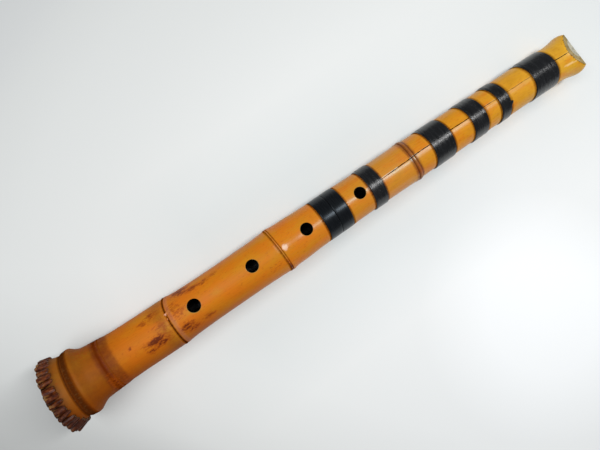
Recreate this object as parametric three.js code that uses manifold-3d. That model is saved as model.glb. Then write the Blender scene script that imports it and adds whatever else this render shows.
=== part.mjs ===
// Shakuhachi, an end-blown bamboo flute that comes apart at a tenon joint. Millimetres, +Z up.
// +X runs from the root end to the blowing edge, and the four front holes face +Z.
// The flute lies at rest on its root bulb and its mouth end, and the origin is under its middle.
import * as THREE from 'three';
import { mergeVertices } from 'three/addons/utils/BufferGeometryUtils.js';
import Module from 'manifold-3d';

const wasm = await Module();
wasm.setup();

// The culm, a stem of bamboo
const fluteLength = 545;
const culmRadius = 19;
const rootCurlRise = 12.6;
const rootCurlLength = 106;
const rootSkewShare = 0.09;
const rootSkewLength = 46;
const squareEndShare = 0.5;
const squareEndLength = 20;
const rootSwing = 1.5;
const rootSwingLength = 130;
const lowerBow = -0.6;
const mouthSwing = -1.5;
const mouthSwingLength = 60;
const culmArchRise = 3;
const curlSteps = 8;
const turnedSides = 40;
const halfSide = Math.PI / turnedSides;

// Outside of the bamboo, from the root face to the blowing end: [share of length, share of radius].
// The points close together are the root ring and its bulge, then the growth rings.
const culmOutlineShares = [
  [0, 1.440], [0.0020, 1.500], [0.0070, 1.545], [0.0130, 1.530], [0.0175, 1.470], [0.0220, 1.385],
  [0.0262, 1.360], [0.0320, 1.395], [0.0375, 1.420], [0.0430, 1.350], [0.0485, 1.245],
  [0.0540, 1.168], [0.0600, 1.162], [0.0670, 1.142], [0.0776, 1.120], [0.0923, 1.082],
  [0.1141, 1.078], [0.1500, 1.083], [0.1740, 1.088], [0.1786, 1.080], [0.1812, 1.106],
  [0.1900, 1.075], [0.2060, 1.040], [0.2480, 1.018], [0.3220, 1.030], [0.3550, 1.058],
  [0.3665, 1.075], [0.3700, 1.106], [0.3740, 1.080], [0.3850, 1.068], [0.4010, 1.058],
  [0.4200, 1.030], [0.4340, 1.015], [0.4716, 1.000], [0.5200, 0.985], [0.6000, 0.995],
  [0.6200, 1.003], [0.6235, 1.032], [0.6262, 1.026], [0.6290, 1.034], [0.6325, 0.998],
  [0.6600, 0.980], [0.7400, 0.968], [0.8200, 0.962], [0.8800, 0.965], [0.9450, 0.962],
  [0.9620, 0.970], [0.9760, 1.002], [0.9870, 1.058], [0.9955, 1.100], [1, 1.090],
];

// Bore
const boreMouthRadius = 10.3;
const boreJointRadius = 9.4;
const boreThroatRadius = 8.2;
const boreRootRadius = 9.2;
const boreThroatShare = 0.115;
const liningThickness = 1.1;
const glueGap = 0.2;

// Finger holes, by the traditional tenths of the length
const frontHoleShares = [0.2226, 0.3226, 0.4207, 0.5218];
const frontHoleRadii = [5.45, 5.3, 5.3, 5.2];
const thumbHoleShare = 0.58;
const thumbHoleRadius = 5.2;
const holeSides = 24;

// Root stubs, two rows of cut roots round the end, and how each row leans back, in degrees
const stubCount = 30;
const stubBaseRadius = 2.6;
const stubTipRadius = 2;
const stubLength = 9;
const stubPlaceShares = [0.0125, 0.0062];
const stubTurnShares = [0, 0.5];
const stubReaches = [1.7, 1.9];
const stubLeans = [40, 60];
const stubSwingShare = 0.25;
const stubSwingTurns = [2.4, 1.7];
const stubSides = 7;

// Joint between the halves
const seamShare = 0.4716;
const seamGap = 0.3;
const tenonRadius = 13;
const tenonReach = 19;
const tenonSeat = 18;
const tenonClearance = 0.3;
const tenonEndGap = 0.5;
const socketWall = 1.2;
const jointBandWidth = 11.8;
const jointBandThickness = 1.7;
const jointBandProud = 0.35;
const jointBandEase = 0.35;

// Tape bands round the upper half: the middle of each as a share of the length, its width, and
// where its tape ends, in degrees from the top towards -Y
const tapeCentreShares = [0.5501, 0.6843, 0.7619, 0.8180, 0.9125];
const tapeWidths = [12.9, 22.0, 16.8, 11.6, 29.3];
const tapeEndTurns = [200, 155, 250, 25, 22];
const tapeStack = 0.45;
const tapeThickness = 0.2;
const tapeGap = 0.2;

// Mouth end
const bevelLength = 15;
const edgeLand = 0.6;
const inlayRadius = 9.6;
const inlayDepth = 3;
const inlayGap = 0.25;
const chinCutLength = 9;
const chinCutDepth = 3.6;

const cutOverrun = 5;

// Colours, read from the photograph
const lowerBamboo = new THREE.MeshStandardMaterial({ color: 0xb9741c, roughness: 0.42 });
const upperBamboo = new THREE.MeshStandardMaterial({ color: 0xd8932a, roughness: 0.4 });
const lacquer = new THREE.MeshStandardMaterial({ color: 0x1d1310, roughness: 0.3 });
const tenonBamboo = new THREE.MeshStandardMaterial({ color: 0x8f6030, roughness: 0.6 });
const jointBlack = new THREE.MeshStandardMaterial({ color: 0x222326, roughness: 0.38 });
const tape = new THREE.MeshStandardMaterial({ color: 0x292a2e, roughness: 0.46 });
const horn = new THREE.MeshStandardMaterial({ color: 0xb8ac90, roughness: 0.32 });

const seam = fluteLength * seamShare;
const lowerEnd = seam - seamGap / 2;
const upperStart = seam + seamGap / 2;
const socketFloor = seam - tenonReach - tenonEndGap;
const tenonRoot = upperStart + tenonSeat;
const socketRadius = tenonRadius + tenonClearance;

// Value at a place on a line of [place, value] points
function along(points, place) {
  const next = points.findIndex(([at]) => at >= place);
  if (next < 0) return points[points.length - 1][1];
  if (next === 0) return points[0][1];
  const [from, low] = points[next - 1];
  const [to, high] = points[next];
  return low + (high - low) * (place - from) / (to - from);
}

const culmOutline = culmOutlineShares.map(([place, girth]) => [place * fluteLength, girth * culmRadius]);
const boreOutline = [
  [0, boreRootRadius],
  [boreThroatShare * fluteLength, boreThroatRadius],
  [seam, boreJointRadius],
  [fluteLength, boreMouthRadius],
];
const culmStops = culmOutline.map(([x]) => x);
const boreStops = boreOutline.map(([x]) => x);
const culmRadiusAt = (x) => along(culmOutline, x);
const boreRadiusAt = (x) => along(boreOutline, x);

// Places where a skin between two ends needs a ring: its ends, and every stop between
function rings(from, to, places) {
  return [from, ...places.filter((x) => x > from && x < to), to];
}

// The culm's own middle line: its height, its slope, and how far it swings aside. Its rings stand
// square to it, those of the root a little askew, and lean less the nearer they are to the root end.
const fade = (distance, length) => Math.max(0, 1 - distance / length);
const centreHeight = (x) => rootCurlRise * fade(x, rootCurlLength) ** 2
  + culmArchRise * Math.sin(Math.PI * x / fluteLength);
const centreSlope = (x) => -2 * rootCurlRise * fade(x, rootCurlLength) / rootCurlLength
  + culmArchRise * Math.PI / fluteLength * Math.cos(Math.PI * x / fluteLength);
const centreAside = (x) => rootSwing * fade(x, rootSwingLength) ** 2
  + lowerBow * Math.sin(Math.PI * Math.min(x, seam) / seam)
  + mouthSwing * fade(fluteLength - x, mouthSwingLength) ** 2;
const rootSkew = (x) => rootSkewShare * fade(x, rootSkewLength);
const ringFreedom = (x) => 1 - squareEndShare * fade(x, squareEndLength) ** 2;

// Bends a shape that was made round a straight +X axis onto the culm's middle line
function ontoCulm(geometry) {
  const position = geometry.attributes.position;
  for (let i = 0; i < position.count; i += 1) {
    const [x, y, z] = [position.getX(i), position.getY(i), position.getZ(i)];
    const length = Math.hypot(1, centreSlope(x));
    const lean = y * rootSkew(x) - z * centreSlope(x) / length;
    position.setXYZ(i, x + lean * ringFreedom(x), centreAside(x) + y, centreHeight(x) + z / length);
  }
  return geometry;
}

// A round solid about +X from a closed [x, radius] outline, outside forwards and inside back,
// with one of its flat sides underneath
function turned(outline) {
  const points = [...outline, outline[0]].map(([x, radius]) => new THREE.Vector2(radius, x));
  return new THREE.LatheGeometry(points, turnedSides).rotateZ(-Math.PI / 2).rotateX(halfSide);
}

// A sleeve whose outside and inside are functions of the place
function sleeve(outerStops, outerRadius, innerStops, innerRadius) {
  const outside = outerStops.map((x) => [x, outerRadius(x)]);
  const inside = innerStops.map((x) => [x, innerRadius(x)]).reverse();
  return turned([...outside, ...inside]);
}

function solid(geometry) {
  const bare = geometry.clone();
  bare.deleteAttribute('normal');
  bare.deleteAttribute('uv');
  const closed = mergeVertices(bare);
  return new wasm.Manifold(new wasm.Mesh({
    numProp: 3,
    vertProperties: new Float32Array(closed.attributes.position.array),
    triVerts: new Uint32Array(closed.index.array),
  }));
}

function geometryOf(manifold) {
  const mesh = manifold.getMesh();
  const geometry = new THREE.BufferGeometry();
  geometry.setAttribute('position', new THREE.BufferAttribute(new Float32Array(mesh.vertProperties), 3));
  geometry.setIndex(new THREE.BufferAttribute(new Uint32Array(mesh.triVerts), 1));
  geometry.computeVertexNormals();
  return geometry;
}

const flute = new THREE.Group();

function piece(name, geometry, material) {
  const mesh = new THREE.Mesh(geometry, material);
  mesh.name = name;
  flute.add(mesh);
}

// Finger-hole cutters, from the bore's middle out through the wall
function holeCutter(x, radius, side) {
  const reach = culmRadiusAt(x) + cutOverrun;
  const drill = new THREE.CylinderGeometry(radius, radius, reach, holeSides).rotateX(Math.PI / 2);
  return solid(drill.translate(x, 0, centreHeight(x) + side * reach / 2));
}
const frontHoles = frontHoleShares.map((share, i) => holeCutter(share * fluteLength, frontHoleRadii[i], 1));
const thumbHole = holeCutter(thumbHoleShare * fluteLength, thumbHoleRadius, -1);

// Mouth cuts. The bevel's own frame: origin on the blowing edge, -X up the slope, +Z out of it.
const edgeHeight = boreMouthRadius + edgeLand;
const bevelAngle = Math.atan2(culmRadiusAt(fluteLength - bevelLength) - edgeHeight, bevelLength);
const onBevel = (geometry) => geometry.rotateY(bevelAngle)
  .translate(fluteLength, 0, centreHeight(fluteLength) + edgeHeight);
const cutterSize = 4 * culmRadius;
const bevelCut = solid(onBevel(
  new THREE.BoxGeometry(cutterSize, cutterSize, cutterSize).translate(0, 0, cutterSize / 2),
));
const chinAngle = Math.atan2(chinCutDepth, chinCutLength);
const chinCut = solid(new THREE.BoxGeometry(cutterSize, cutterSize, cutterSize)
  .translate(0, 0, -cutterSize / 2).rotateY(-chinAngle)
  .translate(fluteLength, 0, centreHeight(fluteLength) + chinCutDepth - culmRadiusAt(fluteLength - chinCutLength)));
const beyondEnd = solid(new THREE.BoxGeometry(cutterSize, cutterSize, cutterSize)
  .translate(fluteLength + cutterSize / 2, 0, 0));

// A disc let into the bevel, centred on the blowing edge
function inlayDisc(radius, depth, proud) {
  const disc = new THREE.CylinderGeometry(radius, radius, depth + proud, holeSides).rotateX(Math.PI / 2);
  return solid(onBevel(disc.translate(0, 0, (proud - depth) / 2)));
}
const inlayPocket = inlayDisc(inlayRadius + inlayGap, inlayDepth + inlayGap, cutOverrun);

// Lower half of the culm, with the root bulb and its cut roots grown in one
const liningSeatAt = (x) => boreRadiusAt(x) + liningThickness + glueGap;
const jointRebate = culmRadiusAt(seam) + jointBandProud - jointBandThickness - glueGap;
const lowerShoulder = lowerEnd - jointBandWidth - glueGap;
const lowerBoreStops = Array.from({ length: curlSteps + 1 }, (_, i) => (i / curlSteps) * rootCurlLength);

function lowerCulm() {
  const outside = rings(0, lowerShoulder, culmStops).map((x) => [x, culmRadiusAt(x)]);
  const rebate = [[lowerShoulder, jointRebate], [lowerEnd, jointRebate]];
  const socketSeat = socketRadius + socketWall + glueGap;
  const socket = [[lowerEnd, socketSeat], [socketFloor - glueGap, socketSeat]];
  const bore = rings(0, socketFloor - glueGap, lowerBoreStops).map((x) => [x, liningSeatAt(x)]);
  let culm = solid(ontoCulm(turned([...outside, ...rebate, ...socket, ...bore.reverse()])));
  for (const stub of rootStubs()) culm = culm.add(stub);
  for (const hole of frontHoles.slice(0, 3)) culm = culm.subtract(hole);
  return culm;
}

// Cut roots: pegs side by side round the root ring, leaning back, of uneven reach, sawn off level
// with the end face
function rootStubs() {
  const sawn = solid(new THREE.BoxGeometry(cutterSize, cutterSize, cutterSize)
    .translate(-cutterSize / 2, 0, 0));
  return stubPlaceShares.flatMap((placeShare, row) => {
    const place = placeShare * fluteLength;
    return Array.from({ length: stubCount }, (_, i) => {
      const swing = 1 + stubSwingShare * Math.sin(i * stubSwingTurns[0] + row * stubSwingTurns[1]);
      const peg = new THREE.CylinderGeometry(stubTipRadius, stubBaseRadius, stubLength, stubSides);
      peg.translate(0, stubReaches[row] * swing - stubLength / 2, 0);
      peg.rotateX(Math.PI / 2);
      peg.rotateY(-THREE.MathUtils.degToRad(stubLeans[row]));
      peg.translate(place, 0, culmRadiusAt(place));
      peg.rotateX(2 * Math.PI * (i + stubTurnShares[row]) / stubCount);
      return solid(ontoCulm(geometryOf(solid(peg).subtract(sawn))));
    });
  });
}

piece('lower_culm', geometryOf(lowerCulm()), lowerBamboo);

// Upper half of the culm, with the blowing bevel, the pocket for the horn and the chin rest
const upperShoulder = upperStart + jointBandWidth + glueGap;

function upperCulm() {
  const outside = rings(upperShoulder, fluteLength, culmStops).map((x) => [x, culmRadiusAt(x)]);
  const bore = rings(tenonRoot + glueGap, fluteLength, boreStops).map((x) => [x, liningSeatAt(x)]);
  const tenonHole = tenonRadius + glueGap;
  const socket = [[tenonRoot + glueGap, tenonHole], [upperStart, tenonHole]];
  const rebate = [[upperStart, jointRebate], [upperShoulder, jointRebate]];
  return solid(ontoCulm(turned([...rebate, ...outside, ...bore.reverse(), ...socket])))
    .subtract(bevelCut).subtract(chinCut).subtract(inlayPocket)
    .subtract(frontHoles[3]).subtract(thumbHole);
}
piece('upper_culm', geometryOf(upperCulm()), upperBamboo);

// Bore linings of hardened paste under lacquer
function lining(from, to, stops) {
  const places = rings(from, to, stops);
  return solid(ontoCulm(sleeve(places, (x) => boreRadiusAt(x) + liningThickness, places, boreRadiusAt)));
}
const lowerLining = frontHoles.slice(0, 3)
  .reduce((rest, hole) => rest.subtract(hole), lining(0, socketFloor - glueGap, lowerBoreStops));
const upperLining = lining(tenonRoot + glueGap, fluteLength, boreStops)
  .subtract(bevelCut).subtract(inlayPocket).subtract(frontHoles[3]).subtract(thumbHole);
piece('lower_bore_lining', geometryOf(lowerLining), lacquer);
piece('upper_bore_lining', geometryOf(upperLining), lacquer);

// Tenon, glued into the upper half, and the liner of the socket that takes it
const tenonStops = [seam - tenonReach, tenonRoot];
piece('tenon_sleeve', ontoCulm(sleeve(tenonStops, () => tenonRadius, tenonStops, boreRadiusAt)), tenonBamboo);
const linerStops = [socketFloor, lowerEnd];
piece(
  'socket_liner',
  ontoCulm(sleeve(linerStops, () => socketRadius + socketWall, linerStops, () => socketRadius)),
  lacquer,
);

// Joint bands, let into a rebate at the end of each half, with eased edges
function jointBand(from) {
  const outside = culmRadiusAt(seam) + jointBandProud;
  const inside = outside - jointBandThickness;
  const to = from + jointBandWidth;
  return ontoCulm(turned([
    [from, outside - jointBandEase], [from + jointBandEase, outside],
    [to - jointBandEase, outside], [to, outside - jointBandEase],
    [to, inside], [from, inside],
  ]));
}
piece('lower_joint_band', jointBand(lowerEnd - jointBandWidth), jointBlack);
piece('upper_joint_band', jointBand(upperStart), jointBlack);

// Tape bands: each a stack of turns that ends in one step as high as the tape is thick
function ring(radiusAt, start) {
  return Array.from({ length: turnedSides + 1 }, (_, i) => {
    const angle = start + 2 * Math.PI * i / turnedSides;
    const radius = radiusAt(i / turnedSides);
    return new THREE.Vector2(radius * Math.cos(angle), radius * Math.sin(angle));
  });
}

function tapeBand(centre, width, endTurn) {
  const seat = culmRadiusAt(centre) + tapeGap;
  const section = new THREE.Shape(
    ring((share) => seat + tapeStack + tapeThickness * share, THREE.MathUtils.degToRad(180 + endTurn)),
  );
  section.holes.push(new THREE.Path(ring(() => seat, halfSide).slice(0, turnedSides).reverse()));
  const band = new THREE.ExtrudeGeometry(section, { depth: width, bevelEnabled: false });
  band.rotateY(Math.PI / 2).translate(centre - width / 2, 0, 0);
  const position = band.attributes.position;
  for (let i = 0; i < position.count; i += 1) {
    const [x, y, z] = [position.getX(i), position.getY(i), position.getZ(i)];
    const taper = 1 + (culmRadiusAt(x) - culmRadiusAt(centre)) / seat;
    position.setXYZ(i, x, y * taper, z * taper);
  }
  return ontoCulm(band);
}
tapeCentreShares.forEach((share, i) => {
  piece(`tape_band_${i + 1}`, tapeBand(share * fluteLength, tapeWidths[i], tapeEndTurns[i]), tape);
});

// Horn inlay that forms the blowing edge, flush with the bevel and with the bore
function hornInlay() {
  const behind = fluteLength - bevelLength - inlayRadius;
  const boreAir = [[behind, 0], [behind, boreRadiusAt(behind)], [fluteLength + cutOverrun, boreMouthRadius],
    [fluteLength + cutOverrun, 0]];
  return inlayDisc(inlayRadius, inlayDepth, 0).subtract(beyondEnd).subtract(solid(ontoCulm(turned(boreAir))));
}
piece('horn_inlay', geometryOf(hornInlay()), horn);

// Lay the flute down: lowest point on the ground, footprint's middle on the origin
const extent = new THREE.Box3().setFromObject(flute, true);
const middle = extent.getCenter(new THREE.Vector3());
flute.position.set(-middle.x, -middle.y, -extent.min.z);

export default flute;
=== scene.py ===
import math

import bpy
import numpy as np
from mathutils import Matrix, Vector


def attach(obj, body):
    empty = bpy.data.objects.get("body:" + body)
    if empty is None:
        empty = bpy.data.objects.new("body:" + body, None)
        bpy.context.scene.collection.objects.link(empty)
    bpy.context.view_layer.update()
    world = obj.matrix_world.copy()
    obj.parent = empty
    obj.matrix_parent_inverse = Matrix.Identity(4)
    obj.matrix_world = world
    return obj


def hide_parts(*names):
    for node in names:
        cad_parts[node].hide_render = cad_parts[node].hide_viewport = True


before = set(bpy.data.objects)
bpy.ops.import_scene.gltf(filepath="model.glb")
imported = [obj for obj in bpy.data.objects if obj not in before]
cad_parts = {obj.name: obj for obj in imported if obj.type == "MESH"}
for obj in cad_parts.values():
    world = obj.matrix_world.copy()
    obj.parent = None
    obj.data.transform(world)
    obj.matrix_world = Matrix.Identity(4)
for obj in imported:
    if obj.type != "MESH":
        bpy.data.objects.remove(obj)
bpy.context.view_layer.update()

# --- Lower culm -----------------------------------------------------------------------------------
# The root half of a madake bamboo stem, dug up with its root bulb, smoked, oiled and polished. The
# growth rings, the sawn-off roots and the three lower finger holes are all in this one piece.

MM = 0.001
LENGTH = 545  # from the sawn root to the blowing edge. Lengths are in mm, and places count from the root
SEAM = 257.02  # where the two halves meet
SKIN_STEP, BORE_STEP = 1.6, 4  # between the points that are drawn along the skin and the bore
ROOT_OUTSIDE = [
    (1.5, 21.8), (1.9, 23.8), (2.8, 25.4), (4.5, 26.5), (6.6, 27.1), (8.4, 27.1), (9.4, 26.7), (10.8, 26.2),
    (12.6, 25.8), (14.2, 25.5), (14.6, 25.75), (15.1, 26.3), (15.9, 26.6), (17.4, 26.75),
    (19.2, 27.05), (20.6, 27.1), (21.8, 26.8), (23.6, 25.65), (26.4, 23.75), (29.4, 22.4),
    (32.7, 22.05), (36.0, 21.78), (36.7, 21.8), (39.6, 21.62), (40.4, 21.48), (41.2, 21.55),
    (43.6, 21.4), (44.1, 21.32), (44.7, 21.34), (50.3, 20.65), (62.2, 20.48), (81.8, 20.58),
    (94.8, 20.67), (97.0, 20.6), (98.1, 20.85), (99.0, 21.05), (99.5, 20.75), (99.9, 20.55),
    (100.3, 20.8), (101.1, 20.85), (103.6, 20.43), (112.3, 19.76), (135.2, 19.34), (175.5, 19.57),
    (193.5, 20.1), (199.4, 20.45), (200.6, 20.8), (201.1, 20.92), (201.45, 20.6), (201.8, 20.85),
    (202.3, 20.98), (202.7, 20.85), (203.0, 20.62), (203.5, 20.95), (204.2, 20.95), (205.0, 20.84),
    (206.2, 20.63), (207.6, 20.39), (208.8, 20.24), (211.5, 20.12), (218.5, 20.06),
    (228.9, 19.57), (236.5, 19.29), (244.2, 19.14),
]


def fair_line(points, step):
    """A smooth line through (x, radius) points, with a point at each of them and every step between."""
    x, radius = np.array(points, float).T
    width, slope = np.diff(x), np.diff(radius) / np.diff(x)
    tangent = np.concatenate([slope[:1], np.zeros(len(x) - 2), slope[-1:]])
    rising = slope[:-1] * slope[1:] > 0
    tangent[1:-1][rising] = (2 * slope[:-1] * slope[1:])[rising] / (slope[:-1] + slope[1:])[rising]
    line = []
    for i in range(len(width)):
        count = math.ceil(width[i] / step)
        for share in np.arange(count) / count:
            bent_part = share * (1 - share) * width[i] * (
                (1 - share) * (tangent[i] - slope[i]) - share * (tangent[i + 1] - slope[i]))
            line.append((x[i] + share * width[i], radius[i] + share * width[i] * slope[i] + bent_part))
    return line + [(x[-1], radius[-1])]


def turn(name, outline, sides):
    """Draws a closed outline of (x, radius) points, in mm, and spins it round the +X axis."""
    bpy.ops.object.select_all(action="DESELECT")
    bpy.ops.mesh.primitive_plane_add(size=MM)
    piece = bpy.context.object
    piece.name = piece.data.name = name
    bpy.ops.object.mode_set(mode="EDIT")
    bpy.ops.mesh.merge(type="CENTER")
    bpy.ops.transform.translate(value=(outline[0][0] * MM, 0, outline[0][1] * MM))
    for (x, radius), (next_x, next_radius) in zip(outline, outline[1:] + outline[:1]):
        step = ((next_x - x) * MM, 0, (next_radius - radius) * MM)
        bpy.ops.mesh.extrude_region_move(TRANSFORM_OT_translate={"value": step})
    bpy.ops.mesh.select_all(action="SELECT")
    bpy.ops.mesh.spin(steps=sides, angle=2 * math.pi, center=(0, 0, 0), axis=(1, 0, 0))
    bpy.ops.mesh.select_all(action="SELECT")
    bpy.ops.mesh.remove_doubles(threshold=0.002 * MM)
    bpy.ops.mesh.normals_make_consistent(inside=False)
    bpy.ops.object.mode_set(mode="OBJECT")
    return piece


def places_of(piece):
    """The places of a piece's points, in mm."""
    flat = np.empty(3 * len(piece.data.vertices), np.float32)
    piece.data.vertices.foreach_get("co", flat)
    return flat.reshape(-1, 3).astype(float) / MM


def move_to(piece, places):
    """Moves a piece's points to these places, in mm."""
    piece.data.vertices.foreach_set("co", (places * MM).astype(np.float32).ravel())
    piece.data.update()


ROW_PLACE = np.array([-270.997, -1.346, 19.683])  # where the model's frame has the middle of the root end
BOW = 3  # how far the stem rises between its ends
CURL, CURL_REACH = 12.6, 106  # how high the root end curls up, and over what length
GROWTH_RINGS = [(17, 9), (98.8, 14), (201.6, 12), (342, 12)]  # each one's place, and how far its lean reaches


def on_stem(places):
    """Straight places along the flute, moved onto the stem's own line in the model's frame."""
    x, y, z = places.T
    side = y / np.maximum(np.hypot(y, z), 1)
    # the growth rings stand a little askew on the stem
    near = [np.clip(1 - ((x - place) / reach) ** 2, 0, 1) ** 2 for place, reach in GROWTH_RINGS]
    x = (x + 0.8 * np.clip(side, 0, 1) * near[0]
         + (0.5 * side + 2.2 * np.clip(side, 0, 1) ** 4) * near[1]
         - 1.2 * side * near[2] + 2.6 * side ** 2 * near[3])
    curl = np.clip(1 - x / CURL_REACH, 0, None)
    height = CURL * curl ** 2 + BOW * np.sin(np.pi * x / LENGTH)
    slope = -2 * CURL / CURL_REACH * curl + BOW * np.pi / LENGTH * np.cos(np.pi * x / LENGTH)
    # it sways aside near both ends, and the other way along the root half
    aside = (1.5 * np.clip(1 - x / 130, 0, None) ** 2
             - 0.6 * np.sin(np.pi * np.minimum(x, SEAM) / SEAM)
             - 1.5 * np.clip(1 - (LENGTH - x) / 60, 0, None) ** 2)
    # the root is sawn off slightly aslant, and its face keeps half of what the curl would tilt it
    length = np.hypot(1, slope)
    lean = y * 0.09 * np.clip(1 - x / 46, 0, None) - z * slope / length
    freedom = 1 - 0.5 * np.clip(1 - x / 20, 0, None) ** 2
    bent = np.column_stack([x + lean * freedom, aside + y, height + z / length])
    return bent + ROW_PLACE


def off_stem(places):
    """The straight places that on_stem moves to these, closed in on step by step."""
    straight = places - ROW_PLACE
    for _ in range(30):
        straight = straight + places - on_stem(straight)
    return straight


def carve(piece, cutter, operation="DIFFERENCE"):
    """Cuts one piece with another, or grows it on. The cutter's materials stay on its own faces."""
    cut = piece.modifiers.new("cut", "BOOLEAN")
    cut.operation, cut.object, cut.solver = operation, cutter, "MANIFOLD"
    cut.material_mode = "TRANSFER"
    bpy.context.view_layer.objects.active = piece
    bpy.ops.object.modifier_apply(modifier=cut.name)
    bpy.data.meshes.remove(cutter.data)


def colour(code):
    """A colour written as sRGB hex, in the linear values that shaders take."""
    parts = [int(code[i:i + 2], 16) / 255 for i in (1, 3, 5)]
    return [p / 12.92 if p <= 0.04045 else ((p + 0.055) / 1.055) ** 2.4 for p in parts] + [1]


def add(tree, kind, feeds=(), stops=(), out=0, **settings):
    """Adds a node with its own settings, and gives one of its outputs.

    Feeds give its inputs values or links, and stops a ramp's colours, its two ends first. Map Range reads
    from 1 to 2 and gives 3 to 4. Mix has its colours in 6 and 7, Mapping its place in 1 and scale in 3."""
    made = tree.nodes.new(f"ShaderNode{kind}")
    for key, value in settings.items():
        setattr(made, key, value)
    for key, value in dict(feeds).items():
        if isinstance(value, bpy.types.NodeSocket):
            tree.links.new(value, made.inputs[key])
        else:
            made.inputs[key].default_value = value
    for i, (place, code) in enumerate(stops):
        stop = made.color_ramp.elements[i] if i < 2 else made.color_ramp.elements.new(place)
        stop.position, stop.color = place, colour(code)
    return made.outputs[out]


def new_material(name, **sockets):
    """A material with its principled shader, the shader's fixed values set on its own sockets."""
    made = bpy.data.materials.new(name)
    made.use_nodes = True
    shader = made.node_tree.nodes["Principled BSDF"]
    for key, value in sockets.items():
        shader.inputs[key.replace("_", " ")].default_value = value
    return made, made.node_tree, shader


# Madake bamboo skin, smoked and rubbed with oil: red-brown at the root, where it is older and denser,
# and honey yellow at the mouth. One side of the root half is darker, a painted shade. It is satin smooth,
# glossiest on top where hands have rubbed it, and duller at its sides and round the root.
bamboo, tree, shader = new_material("smoked_madake_bamboo", IOR=1.5, Specular_Tint=(0.5, 0.95, 1, 1))
stem = add(tree, "Attribute", attribute_name="stem", out="Vector")
marks = add(tree, "Attribute", attribute_name="skin_marks_and_painted_light", out="Vector")
line_mark, zone_mark, stain_mark = add(tree, "SeparateXYZ", {0: marks}, out=slice(3))
along, aside, _ = add(tree, "SeparateXYZ", {0: stem}, out=slice(3))
share = add(tree, "MapRange", {0: along, 1: 0, 2: LENGTH})
age = add(tree, "ValToRGB", {0: share}, [
    (0, "#2c1408"), (1, "#e6ae2e"), (0.0145, "#43220c"), (0.0168, "#8a5216"), (0.026, "#925514"),
    (0.035, "#92530e"), (0.06, "#91500b"), (0.072, "#864706"), (0.08, "#8e4c06"), (0.094, "#b9640a"),
    (0.115, "#c66b0c"), (0.15, "#c8720c"), (0.175, "#b06a17"), (0.185, "#cb6f16"), (0.25, "#cf750b"),
    (0.36, "#cf7b12"), (0.385, "#d57a12"), (0.5, "#d2841d"), (0.6, "#d48a20"), (0.72, "#dc9018"),
    (0.86, "#de9e26"),
])
# its fibres run lengthwise, about a millimetre apart, and show only as the faintest streaks
fibre_place = add(tree, "Mapping", {0: stem, 3: (0.03, 1, 1)})
fibre = add(tree, "TexNoise", {0: fibre_place, "Scale": 1.1, "Detail": 4})
mottle_place = add(tree, "Mapping", {0: stem, 3: (0.5, 1, 1)})
mottle = add(tree, "TexNoise", {0: mottle_place, "Scale": 0.11, "Detail": 5})
blot = add(tree, "TexNoise", {0: stem, "Scale": 0.33, "Detail": 6, "Roughness": 0.65})
fibre_share = add(tree, "MapRange", {0: fibre, 1: 0.4, 2: 0.7, 3: 0, 4: 0.16})
streaked = add(tree, "Mix", {0: fibre_share, 6: age, 7: colour("#8f4a0c")}, data_type="RGBA", out=2)
# warm and olive clouds, fainter near the root
calm = add(tree, "MapRange", {0: along, 1: 30, 2: 90, 3: 0.12, 4: 0.5})
warm_share = add(tree, "MapRange", {0: mottle, 1: 0.5, 2: 0.72, 3: 0, 4: calm})
warmed = add(tree, "Mix", {0: warm_share, 6: streaked, 7: colour("#d56a10")}, data_type="RGBA", out=2)
olive_share = add(tree, "MapRange", {0: mottle, 1: 0.5, 2: 0.28, 3: 0, 4: calm})
mottled = add(tree, "Mix", {0: olive_share, 6: warmed, 7: colour("#c58a18")}, data_type="RGBA", out=2)
# painted shade: the root half darker towards -Y
side_shade_depth = add(tree, "MapRange", {0: along, 1: 120, 2: 200, 3: 0.6, 4: 0.1})
side_shade_share = add(tree, "MapRange", {0: aside, 1: -5, 2: -19, 3: 0, 4: side_shade_depth})
side_shaded = add(tree, "Mix", {0: side_shade_share, 6: mottled, 7: colour("#7c3400")}, data_type="RGBA", out=2)
# red-brown zones at the growth rings
torn_place = add(tree, "Mapping", {0: stem, 3: (0.45, 1, 1)})
torn = add(tree, "TexNoise", {0: torn_place, "Scale": 0.75, "Detail": 6, "Roughness": 0.7})
zone_level = add(tree, "Math", {0: blot, 1: 0.7, 2: zone_mark}, operation="MULTIPLY_ADD")
zone_share = add(tree, "MapRange", {0: zone_level, 1: 0.42, 2: 1.3, 3: 0, 4: 1})
zoned = add(tree, "Mix", {0: zone_share, 6: side_shaded, 7: colour("#68280a")}, data_type="RGBA", out=2)
# stains: an orange-brown halo with fibrous dark patches in it
ragged = add(tree, "MapRange", {0: torn, 1: 0.36, 2: 0.64, 3: 0, 4: 0.8})
stain_level = add(tree, "Math", {0: stain_mark, 1: ragged}, operation="ADD")
halo_share = add(tree, "MapRange", {0: stain_level, 1: 0.6, 2: 1.0, 3: 0, 4: 0.8})
haloed = add(tree, "Mix", {0: halo_share, 6: zoned, 7: colour("#9c480a")}, data_type="RGBA", out=2)
stain_share = add(tree, "MapRange", {0: stain_level, 1: 1.08, 2: 1.4, 3: 0, 4: 0.88})
stained = add(tree, "Mix", {0: stain_share, 6: haloed, 7: colour("#581c05")}, data_type="RGBA", out=2)
# the growth rings' dark lines, and lines of painted shade beside the joint rings and the tape bands
line_level = add(tree, "MapRange", {0: torn, 1: 0.36, 2: 0.6, 3: 0.75, 4: 1.1})
line_share = add(tree, "Math", {0: line_mark, 1: line_level}, operation="MULTIPLY", use_clamp=True)
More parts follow.
